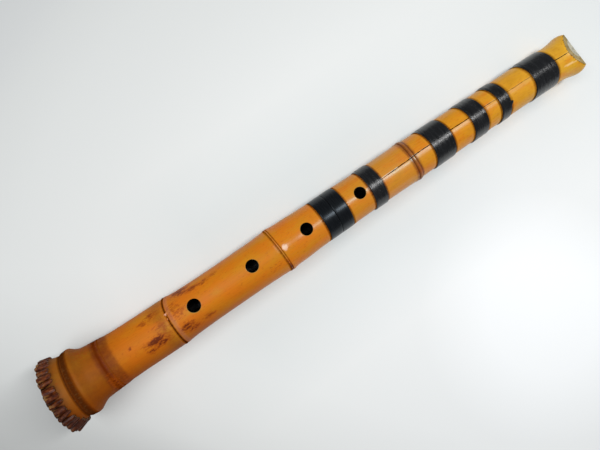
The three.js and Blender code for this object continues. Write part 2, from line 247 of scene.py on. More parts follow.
# the thick ring at the root is weathered and scuffed, the thin lines further on are plain
line_tone = add(tree, "ValToRGB", {0: share}, [(0.045, "#431d07"), (0.06, "#481806")])
scuff_depth = add(tree, "MapRange", {0: along, 1: 22, 2: 30, 3: 0.6, 4: 0})
scuff = add(tree, "MapRange", {0: torn, 1: 0.5, 2: 0.66, 3: 0, 4: scuff_depth})
scuffed = add(tree, "Mix", {0: scuff, 6: line_tone, 7: colour("#6c4320")}, data_type="RGBA", out=2)
lined = add(tree, "Mix", {0: line_share, 6: stained, 7: scuffed}, data_type="RGBA", out=2)
# pale chips and lines, pinkish by the root and straw yellow by the mouth; some of the chips are painted
# highlights
chip_and_highlight_share = add(tree, "Math", {0: line_mark, 1: -1}, operation="MULTIPLY", use_clamp=True)
chip_and_highlight_tone = add(
    tree, "Mix", {0: share, 6: colour("#e0a496"), 7: colour("#efc27a")}, data_type="RGBA", out=2)
chipped_and_highlighted = add(tree, "Mix", {0: chip_and_highlight_share, 6: lined, 7: chip_and_highlight_tone}, data_type="RGBA", out=2)
tree.links.new(chipped_and_highlighted, shader.inputs["Base Color"])
# gloss along the stem and off its top
dull = add(tree, "MapRange", {0: along, 1: 50, 2: 190, 3: 0.5, 4: 0.22})
polish = add(tree, "ValToRGB", {0: share}, [
    (0.09, "#5a5a5a"), (1, "#8a8a8a"), (0.35, "#919191"), (0.52, "#a6a6a6"), (0.57, "#d4d4d4"),
    (0.61, "#d4d4d4"), (0.64, "#989898"), (0.82, "#8e8e8e"),
])
off_top = add(tree, "Math", {0: aside}, operation="ABSOLUTE")
handled = add(tree, "MapRange", {0: off_top, 1: 9, 2: 18, 3: 1, 4: 0.4})
rubbed = add(tree, "Math", {0: polish, 1: handled}, operation="MULTIPLY")
shine = add(tree, "Math", {0: line_share, 1: -0.4, 2: rubbed}, operation="MULTIPLY_ADD", use_clamp=True)
tree.links.new(shine, shader.inputs["Specular IOR Level"])
sheen = add(tree, "Math", {0: fibre, 1: 0.1, 2: dull}, operation="MULTIPLY_ADD")
tree.links.new(sheen, shader.inputs["Roughness"])
height = add(tree, "Math", {0: blot, 1: line_share, 2: fibre}, operation="MULTIPLY_ADD")
relief = add(tree, "Bump", {"Strength": 0.3, "Distance": 0.2 * MM, "Height": height})
tree.links.new(relief, shader.inputs["Normal"])

# Urushi lacquer in the bore and on the walls of the holes: black, brushed on and nearly mirror smooth.
lacquer, tree, shader = new_material("black_urushi_lacquer", IOR=1.54, Specular_IOR_Level=0.3)
stem = add(tree, "Attribute", attribute_name="stem", out="Vector")
brushed = add(tree, "TexNoise", {0: stem, "Scale": 0.25, "Detail": 3})
tone = add(tree, "ValToRGB", {0: brushed}, [(0.3, "#060404"), (0.75, "#0f0806")])
tree.links.new(tone, shader.inputs["Base Color"])
gloss = add(tree, "MapRange", {0: brushed, 3: 0.3, 4: 0.45})
tree.links.new(gloss, shader.inputs["Roughness"])

# Bamboo cut across the grain: pale, dull wood with the dark dots of its vessels, close together
# near the skin and further apart inside.
end_grain, tree, shader = new_material("bamboo_end_grain", IOR=1.5)
stem = add(tree, "Attribute", attribute_name="stem", out="Vector")
across = add(tree, "Mapping", {0: stem, 3: (0.1, 1, 1)})
vessel = add(tree, "TexVoronoi", {0: across, "Scale": 0.75})
dot = add(tree, "MapRange", {0: vessel, 1: 0.2, 2: 0.42, 3: 0.75, 4: 0})
cloud = add(tree, "TexNoise", {0: stem, "Scale": 0.14, "Detail": 4})
wood = add(tree, "ValToRGB", {0: cloud}, [(0.35, "#8f7a3e"), (0.7, "#b9a26c")])
dotted = add(tree, "Mix", {0: dot, 6: wood, 7: colour("#4c2c12")}, data_type="RGBA", out=2)
tree.links.new(dotted, shader.inputs["Base Color"])
dull = add(tree, "MapRange", {0: cloud, 3: 0.5, 4: 0.65})
tree.links.new(dull, shader.inputs["Roughness"])
pits = add(tree, "Bump", {"Strength": 0.3, "Distance": 0.2 * MM, "Height": vessel}, invert=True)
tree.links.new(pits, shader.inputs["Normal"])

# Bamboo cut or scraped along the grain, under a thin coat of clear lacquer: pale gold, where the skin
# is gone from the eased edges of the holes and from the chin rest.
cut_bamboo, tree, shader = new_material("cut_bamboo", IOR=1.5)
stem = add(tree, "Attribute", attribute_name="stem", out="Vector")
cut_place = add(tree, "Mapping", {0: stem, 3: (0.12, 1, 0.5)})
vein = add(tree, "TexNoise", {0: cut_place, "Scale": 1.1, "Detail": 4})
gold = add(tree, "ValToRGB", {0: vein}, [(0.3, "#8a6c2c"), (0.72, "#c89a4a"), (0.5, "#ae8238")])
tree.links.new(gold, shader.inputs["Base Color"])
satin = add(tree, "MapRange", {0: vein, 3: 0.5, 4: 0.4})
tree.links.new(satin, shader.inputs["Roughness"])

# Root bark: dull red-brown with coarse furrows, and painted shade that darkens it towards -Y.
bark, tree, shader = new_material("root_bark", IOR=1.5, Specular_IOR_Level=0.2)
stem = add(tree, "Attribute", attribute_name="stem", out="Vector")
rough = add(tree, "TexNoise", {0: stem, "Scale": 0.5, "Detail": 5, "Roughness": 0.6})
brown = add(tree, "ValToRGB", {0: rough}, [(0.3, "#2e0f04"), (0.74, "#84461a"), (0.5, "#552206")])
from_face, aside, _ = add(tree, "SeparateXYZ", {0: stem}, out=slice(3))
shade_share = add(tree, "MapRange", {0: aside, 1: 4, 2: -20, 3: 0, 4: 0.6})
shaded = add(tree, "Mix", {0: shade_share, 6: brown, 7: colour("#260a02")}, data_type="RGBA", out=2)
# painted shade deep between the roots, darker the lower a point lies between their crests
off_middle = add(tree, "Mapping", {0: stem, 3: (0, 1, 1)})
rise = add(tree, "VectorMath", {0: off_middle}, operation="LENGTH", out="Value")
crest = add(tree, "Math", {0: from_face, 1: 0.3, 2: rise}, operation="MULTIPLY_ADD")
gap_shade_share = add(tree, "MapRange", {0: crest, 1: 30.2, 2: 28.4, 3: 0, 4: 0.8})
gap_shaded = add(tree, "Mix", {0: gap_shade_share, 6: shaded, 7: colour("#1c0702")}, data_type="RGBA", out=2)
# the roots' ends at the sawn face have lost their bark here and there
front = add(tree, "MapRange", {0: aside, 1: -20, 2: -6, 3: 0.1, 4: 0.75})
bare_reach = add(tree, "MapRange", {0: from_face, 1: 4.5, 2: 1.5, 3: 0, 4: front})
bare_share = add(tree, "MapRange", {0: rough, 1: 0.5, 2: 0.6, 3: 0, 4: bare_reach})
bared = add(tree, "Mix", {0: bare_share, 6: gap_shaded, 7: colour("#8f6c3c")}, data_type="RGBA", out=2)
tree.links.new(bared, shader.inputs["Base Color"])
worn = add(tree, "MapRange", {0: rough, 3: 0.5, 4: 0.26})
tree.links.new(worn, shader.inputs["Roughness"])
furrow = add(tree, "Bump", {"Strength": 0.6, "Distance": 0.5 * MM, "Height": rough})
tree.links.new(furrow, shader.inputs["Normal"])

# Sawn root: each cut end has a greenish tan rind round a darker core.
sawn_root, tree, shader = new_material("sawn_root", IOR=1.5, Specular_IOR_Level=0.4)
stem = add(tree, "Attribute", attribute_name="stem", out="Vector")
pith = add(tree, "TexNoise", {0: stem, "Scale": 0.9, "Detail": 4, "Roughness": 0.6})
tan = add(tree, "ValToRGB", {0: pith}, [(0.35, "#2f190a"), (0.7, "#8f7840"), (0.5, "#5c4018")])
tree.links.new(tan, shader.inputs["Base Color"])
dull = add(tree, "MapRange", {0: pith, 3: 0.65, 4: 0.5})
tree.links.new(dull, shader.inputs["Roughness"])
relief = add(tree, "Bump", {"Strength": 0.4, "Distance": 0.3 * MM, "Height": pith})
tree.links.new(relief, shader.inputs["Normal"])


def bare_joint_end(culm):
    """Shows the grain on the sawn end that a half has in the joint."""
    culm.data.materials.append(end_grain)
    for face in culm.data.polygons:
        if abs(face.center.x / MM - SEAM) < 0.5 and abs(face.normal.x) > 0.9:
            face.material_index = 1


lower_rebate = [(244.7, 18.9), (244.87, 18.6), (244.87, 17.45), (256.6, 17.45), (256.87, 17.2)]
socket = [(256.87, 14.7), (237.3, 14.7)]
lower_lining_seat = fair_line([(0, 10.45), (62.7, 9.45), (237.3, 10.53)], BORE_STEP)[::-1]
sawn_face = [(0.5, 11), (0.9, 15), (1.2, 19.5), (1.4, 21)]
lower_culm = turn(
    "root_half_bamboo",
    fair_line(ROOT_OUTSIDE, SKIN_STEP) + lower_rebate + socket + lower_lining_seat + sawn_face, sides=120)
lower_culm.data.materials.append(bamboo)
bare_joint_end(lower_culm)

# The cut roots lie side by side round the bulb's edge, leaning back over it: a peg, trimmed aslant and
# eased at its end, is made once, then copied, each copy of its own lean, girth and reach. None reaches
# beyond the root's sawn face. They grow on in four goes, so that no two neighbours meet in one.
PEG_LENGTH = 9
bpy.ops.object.select_all(action="DESELECT")
bpy.ops.mesh.primitive_cylinder_add(
    vertices=12, radius=2.5 * MM, depth=PEG_LENGTH * MM, location=(0, 0, PEG_LENGTH / 2 * MM))
peg = bpy.context.object
bpy.ops.object.transform_apply(location=True)
peg.data.materials.append(bark)
peg.data.materials.append(sawn_root)
for face in peg.data.polygons:
    face.select = abs(face.normal.z) > 0.9
bpy.ops.object.mode_set(mode="EDIT")
bpy.ops.transform.resize(value=(0.95, 0.95, 1))
bpy.ops.mesh.bevel(offset=1.3 * MM, segments=3, affect="EDGES")
bpy.ops.object.mode_set(mode="OBJECT")
for face in peg.data.polygons:
    face.select = face.normal.z > 0.9
    face.material_index = int(face.normal.z > 0.6)
bpy.ops.object.mode_set(mode="EDIT")
bpy.ops.mesh.inset(thickness=0.4 * MM)
bpy.ops.transform.translate(value=(0, 0, -0.25 * MM))
bpy.ops.mesh.select_all(action="SELECT")
bpy.ops.mesh.quads_convert_to_tris()
bpy.ops.object.mode_set(mode="OBJECT")

ROOT_ROWS = [
    # where each root starts along the flute and from its middle, its lean back in degrees, its length
    (8.1, 25.7, 74, 7.7), (6.4, 23.4, 74, 6.6),
]
ROOTS_IN_ROW = 32
FOREMOST = 0.3  # how near to the sawn face a root may reach
root_groups = [[], [], [], []]
for row, (place, girth, lean, length) in enumerate(ROOT_ROWS):
    for i in range(ROOTS_IN_ROW):
        swing = math.sin(i * 2.4 + row * 1.7)
        wobble = math.sin(i * 3.7 + row * 0.9)
        copy = peg.copy()
        copy.data = peg.data.copy()
        bpy.context.scene.collection.objects.link(copy)
        round_by = 2 * math.pi * (i + 0.5 * row + 0.14 * wobble) / ROOTS_IN_ROW
        # on one side of the bulb the roots grow farther up and are longer
        farther = 3.3 * max(0, math.sin(round_by)) ** 4
        x, y, z = places_of(copy).T
        reach = (length * (1 + 0.1 * swing) + farther) / PEG_LENGTH
        z = z * reach + np.where(z > PEG_LENGTH - 2, 0.3 * x, 0)
        thick = 1.04 + 0.2 * wobble
        x, y = x * thick * (1 + 0.08 * swing), y * thick * (1 - 0.12 * swing) + 0.012 * wobble * z ** 2
        tilt = math.radians(lean + 5 * wobble)
        x, z = x * math.cos(tilt) - z * math.sin(tilt), x * math.sin(tilt) + z * math.cos(tilt)
        x, z = x + place + farther + 0.4 * swing, z + girth
        y, z = (y * math.cos(round_by) - z * math.sin(round_by),
                y * math.sin(round_by) + z * math.cos(round_by))
        move_to(copy, np.column_stack([np.maximum(x, FOREMOST), y, z]))
        root_groups[2 * row + i % 2].append(copy)
bpy.data.meshes.remove(peg.data)
for roots in root_groups:
    bpy.ops.object.select_all(action="DESELECT")
    for copy in roots:
        copy.select_set(True)
    bpy.context.view_layer.objects.active = roots[0]
    bpy.ops.object.join()
    carve(lower_culm, roots[0], "UNION")

LOWER_HOLES = [
    # place, radius, the culm's own radius there, 1 for the top or -1 for the underside
    (121.3, 5.45, 19.58, 1), (175.8, 5.3, 19.57, 1), (229.3, 5.3, 19.55, 1),
]
HOLE_FLARE = [
    # how much wider than the hole, at what height from the skin
    (0, -0.6), (0.05, -0.35), (0.16, -0.14), (0.36, -0.02), (0.46, 0.07), (0.55, 0.7),
]


def hole_drill(x, radius, girth, side):
    """Cutter for a finger hole: straight through one wall, and flared where it meets the round outside."""
    bpy.ops.object.select_all(action="DESELECT")
    bpy.ops.mesh.primitive_circle_add(vertices=48, radius=radius * MM, fill_type="NGON")
    drill = bpy.context.object
    bpy.ops.object.mode_set(mode="EDIT")
    width, level = radius, 0
    for wider, height in HOLE_FLARE:
        rise = (girth + height - level) * MM
        bpy.ops.mesh.extrude_region_move(TRANSFORM_OT_translate={"value": (0, 0, rise)})
        bpy.ops.transform.resize(value=[(radius + wider) / width] * 2 + [1])
        width, level = radius + wider, girth + height
    bpy.ops.mesh.select_all(action="SELECT")
    bpy.ops.mesh.normals_make_consistent(inside=False)
    bpy.ops.object.mode_set(mode="OBJECT")
    drill.data.materials.append(lacquer)
    drill.data.materials.append(cut_bamboo)
    for face in drill.data.polygons:
        face.material_index = int(face.center.z > (girth - 0.3) * MM)
    places = places_of(drill)
    outer = places[:, 2] > 1
    places[outer, 2] += np.sqrt(girth ** 2 - places[outer, 1] ** 2) - girth
    places[:, 1:] *= side
    middle = ROW_PLACE + (x, 0, BOW * math.sin(math.pi * x / LENGTH)) + (0, 0, side * girth)
    places[:, :2] += off_stem(middle[None])[0, :2]
    move_to(drill, places)
    return drill


for hole in LOWER_HOLES:
    carve(lower_culm, hole_drill(*hole))


def lay_on_stem(piece):
    """Bends a straight piece onto the stem's line."""
    move_to(piece, on_stem(places_of(piece)))


def note_stem(piece):
    """Keeps each point's straight place, in mm along the flute, as the attribute that materials read."""
    straight = off_stem(places_of(piece))
    noted = piece.data.attributes.new("stem", "FLOAT_VECTOR", "POINT")
    noted.data.foreach_set("vector", straight.astype(np.float32).ravel())
    return straight


SKIN_PER_DEGREE = 0.35  # round the culm


def mark_skin_and_painted_light(piece, lines, zones, stains, chips_and_highlights):
    """Paints a culm's marks: dark ring lines, red-brown zones and stains, as envelopes that the bamboo
    material breaks up with noise, and pale chips. Some of the lines are painted shade, and some of the chips
    painted highlights.
    A pale line has a depth below 0. Each mark has its place along the flute, and where it needs one its angle
    in degrees from the top towards +Y."""
    x, y, z = note_stem(piece).T
    turn_from_top = np.degrees(np.arctan2(y, z))
    line, zone, stain = np.zeros((3, len(x)))
    for place, reach, depth in lines:
        mark = depth * np.clip(1.5 - np.abs(x - place) / reach, 0, 1)
        line = np.where(np.abs(mark) > np.abs(line), mark, line)
    for start, end, soft, depth in zones:
        zone = np.maximum(zone, depth * np.clip((x - start) / soft, 0, 1) * np.clip((end - x) / soft, 0, 1))
    for place, angle, length, width, depth in stains:
        away = np.hypot((x - place) / length, (turn_from_top - angle) * SKIN_PER_DEGREE / width)
        stain = np.maximum(stain, depth * np.clip(1.4 - away, 0, 1))
    for place, angle, size in chips_and_highlights:
        line[np.hypot(x - place, (turn_from_top - angle) * SKIN_PER_DEGREE) < size] = -1
    noted = piece.data.attributes.new("skin_marks_and_painted_light", "FLOAT_VECTOR", "POINT")
    noted.data.foreach_set("vector", np.column_stack([line, zone, stain]).astype(np.float32).ravel())


def settle(piece, body, slot, *nodes):
    """Finishes a piece: smooth shading between its sharp edges, and its place in the part."""
    bpy.ops.object.select_all(action="DESELECT")
    piece.select_set(True)
    bpy.context.view_layer.objects.active = piece
    bpy.ops.object.shade_smooth_by_angle(angle=math.radians(32))
    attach(piece, body)
    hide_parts(*nodes)


lay_on_stem(lower_culm)
# among these marks, the line at 244.1 is painted shade beside the joint ring, and the chip at 205.7 is a
# painted highlight just past the growth ring at 201.6
mark_skin_and_painted_light(
    lower_culm,
    lines=[(14.3, 0.4, 1), (17, 2.2, 0.95), (40.6, 0.9, 0.34), (44, 0.4, 0.2), (99.8, 0.7, 1),
           (102.3, 1.6, -0.12), (201, 0.6, 0.75), (201.8, 0.25, -0.25), (202.7, 0.45, 0.66),
           (244.1, 0.8, 0.9)],
    zones=[(7.5, 14, 1.5, 0.07), (13.3, 20.9, 0.7, 0.6), (20.9, 36, 2, 0.11), (35.5, 52.5, 2.6, 0.62),
           (38.4, 43.8, 1.4, 0.85), (86, 99.6, 7, 0.25), (99.6, 104.5, 2.5, 0.4)],
    stains=[(83, -15.5, 10, 2.8, 1.12), (87, -27.5, 8, 2.6, 0.95), (76, -33, 5, 2.4, 0.8),
            (80.3, 32, 3.5, 2.2, 0.8), (88.8, 39.5, 5, 3.4, 0.65), (63.3, -1.2, 1.7, 1.3, 0.85),
            (108.5, -31, 8, 3.8, 0.85), (113, -44, 6, 3.5, 0.72), (127, -39, 6, 2.2, 0.75),
            (116, 63, 9, 4.5, 0.86), (118, 49, 6, 2.6, 0.72), (126, 44, 7, 3.2, 0.7),
            (135, 41, 8, 2.2, 0.65), (146, 43, 5, 1.8, 0.55), (105, 25, 7, 5, 0.45), (109, 8, 8, 5, 0.4),
            (50, -70, 12, 10, 0.4), (31, 60, 12, 8, 0.35), (92, 0, 8, 6, 0.35), (190, -35, 10, 4, 0.2),
            (201.9, -62, 1.3, 9, 1), (41.5, -48, 3.5, 9, 0.7)],
    chips_and_highlights=[(99.6, 20, 0.9), (99.4, 8, 0.5), (205.7, -6, 2.4)])
settle(lower_culm, "lower_half", "bamboo_root_half", "lower_culm")

# --- Bore lining of the lower half ----------------------------------------------------------------
# Paste of clay and lacquer that forms the bore's narrowing, built up thick round the wall, sanded
# and lacquered black. The finger holes go through it.
lower_bore = [(0, 9.45)] + fair_line([(0.3, 9.25), (62.7, 8.2), (237.32, 9.31)], BORE_STEP)
lower_lining = turn("root_half_lacquered_bore", lower_bore + [
    (237.32, 10.45), (62.7, 9.4), (0.15, 10.4), (0, 10.2)], sides=72)
lower_lining.data.materials.append(lacquer)
for hole in LOWER_HOLES:
    carve(lower_lining, hole_drill(*hole))
lay_on_stem(lower_lining)
note_stem(lower_lining)
settle(lower_lining, "lower_half", "bore_lacquer", "lower_bore_lining")

# --- Socket liner ---------------------------------------------------------------------------------
# Thin tube glued into the lower half's end, lacquered inside, so that the tenon slides in smoothly.
# Its mouth is eased.
liner = turn("lacquered_socket_liner", [
    (237.52, 13.3), (255.9, 13.3), (256.5, 13.5), (256.8, 13.8), (256.87, 14.1), (256.8, 14.4),
    (256.5, 14.5), (237.52, 14.5)], sides=96)
liner.data.materials.append(lacquer)
lay_on_stem(liner)
note_stem(liner)
settle(liner, "lower_half", "bore_lacquer", "socket_liner")

# --- Lower joint band -----------------------------------------------------------------------------
# Ring of black buffalo horn let into a rebate at the end of the half, so that the bamboo doesn't
# split under the tenon. Turned with eased edges and polished, very slightly crowned.
ring_black, tree, shader = new_material(
    "polished_black_horn", IOR=1.54, Specular_IOR_Level=0.24, Specular_Tint=(0.75, 0.88, 1, 1))
stem = add(tree, "Attribute", attribute_name="stem", out="Vector")
round_place = add(tree, "Mapping", {0: stem, 3: (1, 0.12, 0.12)})
turned = add(tree, "TexNoise", {0: round_place, "Scale": 1.1, "Detail": 4})
tone = add(tree, "ValToRGB", {0: turned}, [(0.3, "#08090a"), (0.75, "#121315")])
tree.links.new(tone, shader.inputs["Base Color"])
sheen = add(tree, "MapRange", {0: turned, 3: 0.24, 4: 0.3})
tree.links.new(sheen, shader.inputs["Roughness"])
relief = add(tree, "Bump", {"Strength": 0.05, "Distance": 0.1 * MM, "Height": turned})
tree.links.new(relief, shader.inputs["Normal"])


RING_WIDTH = 11.8


def joint_ring(name, start, body, node):
    """Turns a ring of the joint from where it starts along the flute, and settles it on its half."""
    end = start + RING_WIDTH
    ring = turn(name, [
        (start, 17.65), (start, 18.95), (start + 0.08, 19.15), (start + 0.25, 19.26), (start + 1.2, 19.31),
        (start + 3.5, 19.35), (end - 3.5, 19.35), (end - 1.2, 19.31), (end - 0.25, 19.26),
        (end - 0.08, 19.15), (end, 18.95), (end, 17.65)], sides=120)
    ring.data.materials.append(ring_black)
    lay_on_stem(ring)
    note_stem(ring)
    settle(ring, body, "joint_band_black", node)


joint_ring("root_half_joint_ring", 245.07, "lower_half", "lower_joint_band")

# --- Tenon ----------------------------------------------------------------------------------------
# Short tube of thinner bamboo, glued into the upper half. It slides into the socket, and its end is
# eased so that it finds the way in. Bare, scraped bamboo, darker where it has rubbed.
scraped, tree, shader = new_material("scraped_tenon_bamboo", IOR=1.5)
stem = add(tree, "Attribute", attribute_name="stem", out="Vector")
fibre_place = add(tree, "Mapping", {0: stem, 3: (0.04, 1, 1)})
fibre = add(tree, "TexNoise", {0: fibre_place, "Scale": 1.3, "Detail": 5})
rubbed_place = add(tree, "Mapping", {0: stem, 3: (1, 0.1, 0.1)})
rubbed = add(tree, "TexNoise", {0: rubbed_place, "Scale": 0.5, "Detail": 3})
wood = add(tree, "ValToRGB", {0: fibre}, [(0.3, "#74481f"), (0.7, "#b07f42")])
rub_share = add(tree, "MapRange", {0: rubbed, 1: 0.5, 2: 0.7, 3: 0, 4: 0.6})
tone = add(tree, "Mix", {0: rub_share, 6: wood, 7: colour("#4e2c12")}, data_type="RGBA", out=2)
tree.links.new(tone, shader.inputs["Base Color"])
dull = add(tree, "MapRange", {0: rubbed, 3: 0.6, 4: 0.42})
tree.links.new(dull, shader.inputs["Roughness"])
relief = add(tree, "Bump", {"Strength": 0.35, "Distance": 0.2 * MM, "Height": fibre})
tree.links.new(relief, shader.inputs["Normal"])

tenon = turn("bamboo_tenon", [
    (238.02, 9.7), (238.3, 9.35), (239, 9.3), (275.17, 9.45), (275.17, 13), (239.4, 13), (238.5, 12.75),
    (238.1, 12.4), (238.02, 12.1)], sides=96)
tenon.data.materials.append(scraped)
lay_on_stem(tenon)
note_stem(tenon)
settle(tenon, "upper_half", "tenon_bamboo", "tenon_sleeve")

# --- Upper culm -----------------------------------------------------------------------------------
# The mouth half of the same stem. It carries the fourth finger hole, the thumb hole, the growth ring
# above them, a long hairline crack, and the blowing bevel and the chin rest cut into its end.
MOUTH_OUTSIDE = [
    (269.6, 19.0), (283.4, 18.72), (327, 18.9), (335.5, 19.1), (337.6, 19.4), (338.7, 19.65),
    (339.2, 19.6), (339.6, 19.3), (340.1, 19.55), (341.2, 19.9), (342.2, 19.85), (342.8, 19.55),
    (343.2, 19.12), (343.9, 19.0), (345.2, 18.88), (359.7, 18.62), (403.3, 18.39), (446.9, 18.28),
    (479.6, 18.34), (515, 18.28), (524.3, 18.43), (531.9, 19.04), (537.9, 20.1), (542.5, 20.9),
    (544.6, 20.8), (544.998, 20.6),
]
upper_line = fair_line(MOUTH_OUTSIDE, SKIN_STEP)
upper_lining_seat = [(LENGTH, 11.45), (275.37, 10.7)]
tenon_seat = [(275.37, 13.15), (257.17, 13.15)]
upper_rebate = [(257.17, 17.2), (257.44, 17.45), (269.17, 17.45), (269.17, 18.6), (269.34, 18.9)]
upper_culm = turn(
    "mouth_half_bamboo", upper_line + upper_lining_seat + tenon_seat + upper_rebate, sides=120)
upper_culm.data.materials.append(bamboo)
bare_joint_end(upper_culm)

# Fibres in the crack: near black and dull, they throw back next to no light.
crack_fibre, tree, shader = new_material("dark_crack_fibre", Specular_IOR_Level=0.05, Roughness=0.9)
stem = add(tree, "Attribute", attribute_name="stem", out="Vector")
strand = add(tree, "TexNoise", {0: stem, "Scale": 0.9, "Detail": 3})
tone = add(tree, "ValToRGB", {0: strand}, [(0.35, "#0c0502"), (0.7, "#2a1206")])
tree.links.new(tone, shader.inputs["Base Color"])

# Where the crack runs, in mm from the root and in degrees from the top. One side of it has sprung up a
# little, which ends the streak of light there.
CRACK = [
    (303, -2.5), (320, -1.4), (335, -0.4), (345, 1.2), (383, 3), (403, 2.2), (425, 3.8), (439, 3.4),
    (452, 2.4), (481, 1.2), (512, 1), (534, 0.4),
]
CRACK_START, CRACK_END = 305, 534
CULM_RADIUS = 18.5
LIP = 0.28
crack_x, crack_turn = np.array(CRACK).T
line_x, line_radius = np.array(upper_line).T
places = places_of(upper_culm)
x, y, z = places.T
past_crack = np.degrees(np.arctan2(y, z)) - np.interp(x, crack_x, crack_turn)
along_crack = (x > CRACK_START + 1) & (x < CRACK_END - 4)
lifted = (past_crack > 0) & (past_crack < 30) & along_crack & (np.hypot(y, z) > CULM_RADIUS - 0.9)
rise = np.where(lifted, 1 + LIP / CULM_RADIUS * np.exp(-past_crack / 4.5), 1)
places[:, 1:] *= rise[:, None]
move_to(upper_culm, places)

# The crack is cut with a long thin wedge, which narrows at its ends and follows the crack in 140 steps.
bpy.ops.object.select_all(action="DESELECT")
bpy.ops.mesh.primitive_cube_add(size=MM)
wedge = bpy.context.object
bpy.ops.object.mode_set(mode="EDIT")
bpy.ops.mesh.select_all(action="DESELECT")
bpy.ops.object.mode_set(mode="OBJECT")
for edge in wedge.data.edges:
    a, b = (wedge.data.vertices[i].co for i in edge.vertices)
    edge.select = abs(a.x - b.x) > 0.5 * MM
bpy.ops.object.mode_set(mode="EDIT")
bpy.ops.mesh.subdivide(number_cuts=140)
bpy.ops.object.mode_set(mode="OBJECT")
wedge.data.materials.append(crack_fibre)
x, y, z = places_of(wedge).T
x = CRACK_START + (x + 0.5) * (CRACK_END - CRACK_START)
fading = np.clip(np.minimum(x - (CRACK_START - 1), CRACK_END + 1 - x) / 12, 0.2, 1)
fading = fading * np.interp(x, [400, 428, 450, 484, 510], [1, 0.72, 0.5, 0.5, 1])
half_width = np.where(z > 0, 0.42, 0.1) * fading * (1 + 0.4 * np.sin(x * 0.9) * np.sin(x * 0.23))
radius = np.interp(x, line_x, line_radius) + np.where(z > 0, 0.6, -1.5 * fading)
angle = np.radians(np.interp(x, crack_x, crack_turn) + 0.25 * np.sin(x * 0.31) + 0.12 * np.sin(x * 1.3))
angle = angle + np.sign(y) * half_width / CULM_RADIUS
move_to(wedge, np.column_stack([x, radius * np.sin(angle), radius * np.cos(angle)]))
carve(upper_culm, wedge)

UPPER_HOLES = [
    # as for the lower holes: the fourth finger hole, and the thumb hole underneath
    (284.4, 5.2, 18.72, 1), (316.1, 5.2, 18.85, -1),
]
for hole in UPPER_HOLES:
    carve(upper_culm, hole_drill(*hole))
lay_on_stem(upper_culm)

MOUTH = ROW_PLACE + (LENGTH, 0, 0)
BEVEL_EDGE = MOUTH + (0, 0, 10.9)  # the middle of the blowing edge, just above the bore
BEVEL_TILT = math.atan2(7.985, 15)
CHIN_CUT, CHIN_REACH = 3.6, 9  # how much the chin rest takes off at the end, and how far it runs back
CHIN_EDGE = MOUTH + (0, 0, CHIN_CUT - 19.76)


def slice_off(piece, place, normal, fill_material=None):
    """Cuts away all of a piece that lies beyond a plane, and closes the cut."""
    if fill_material and fill_material.name not in piece.data.materials:
        piece.data.materials.append(fill_material)
    bpy.ops.object.select_all(action="DESELECT")
    piece.select_set(True)
    bpy.context.view_layer.objects.active = piece
    bpy.ops.object.mode_set(mode="EDIT")
    bpy.ops.mesh.select_all(action="SELECT")
    bpy.ops.mesh.bisect(plane_co=[p * MM for p in place], plane_no=normal, use_fill=True, clear_outer=True)
    bpy.ops.object.mode_set(mode="OBJECT")
    if fill_material:
        slot_index = piece.data.materials.find(fill_material.name)
        for face in piece.data.polygons:
            away = np.dot(np.array(face.center) / MM - place, normal)
            if abs(away) < 0.02 and np.dot(face.normal, normal) > 0.99:
                face.material_index = slot_index


bevel_normal = np.array([math.sin(BEVEL_TILT), 0, math.cos(BEVEL_TILT)])
chin_tilt = math.atan2(CHIN_CUT, CHIN_REACH)
chin_normal = np.array([math.sin(chin_tilt), 0, -math.cos(chin_tilt)])
slice_off(upper_culm, BEVEL_EDGE, bevel_normal, end_grain)
slice_off(upper_culm, CHIN_EDGE, chin_normal, cut_bamboo)

INLAY_POCKET = (9.65, 3.1, 5)  # its radius, its depth, and how far its cutter stands proud of the bevel


def inlay_blank(radius, depth, proud):
    """A disc that lies in the bevel, centred on the blowing edge, from its depth to so far proud."""
    bpy.ops.object.select_all(action="DESELECT")
    middle = BEVEL_EDGE + bevel_normal * (proud - depth) / 2
    bpy.ops.mesh.primitive_cylinder_add(
        vertices=72, radius=radius * MM, depth=(proud + depth) * MM,
        location=middle * MM, rotation=(0, BEVEL_TILT, 0))
    bpy.ops.object.transform_apply(location=True, rotation=True)
    return bpy.context.object


pocket = inlay_blank(*INLAY_POCKET)
pocket.data.materials.append(cut_bamboo)
carve(upper_culm, pocket)
TAPE_EDGES = (293.1, 306.5, 361.5, 384.2, 406.4, 423.9, 439.7, 451.9, 482.3, 512.3)
# painted shade: a dark line on the bamboo along each tape band's edge, where the tape's edge throws its
# shadow
tape_edge_shade = [(edge, 1.2, 0.9) for edge in TAPE_EDGES]
# a painted highlight: a thin pale streak near the mouth, running to the bevel
painted_highlight_streak = [(x, -30 - (x - 518) / 5, 0.8) for x in range(519, 534)]
mark_skin_and_painted_light(
    upper_culm,
    # the line at 269.5 is painted shade beside the joint ring
    lines=[(339.5, 0.55, 0.8), (341.3, 0.6, -0.1), (343.2, 0.5, 0.8), (269.5, 0.4, 0.7)] + tape_edge_shade,
    zones=[(336.2, 346, 1.8, 0.66)],
    stains=[(341.5, -40, 3, 9, 0.5)],
    chips_and_highlights=[(270.2, -4, 0.7), (269.9, -10, 0.5)] + painted_highlight_streak)
# the skin is worn brown along the bevel's rim
noted = upper_culm.data.attributes["skin_marks_and_painted_light"]
marks = np.empty(3 * len(noted.data), np.float32)
noted.data.foreach_get("vector", marks)
on_bevel = np.abs((places_of(upper_culm) - BEVEL_EDGE) @ bevel_normal) < 0.02
marks.reshape(-1, 3)[on_bevel, 0] = 1
noted.data.foreach_set("vector", marks)
settle(upper_culm, "upper_half", "bamboo_mouth_half", "upper_culm")

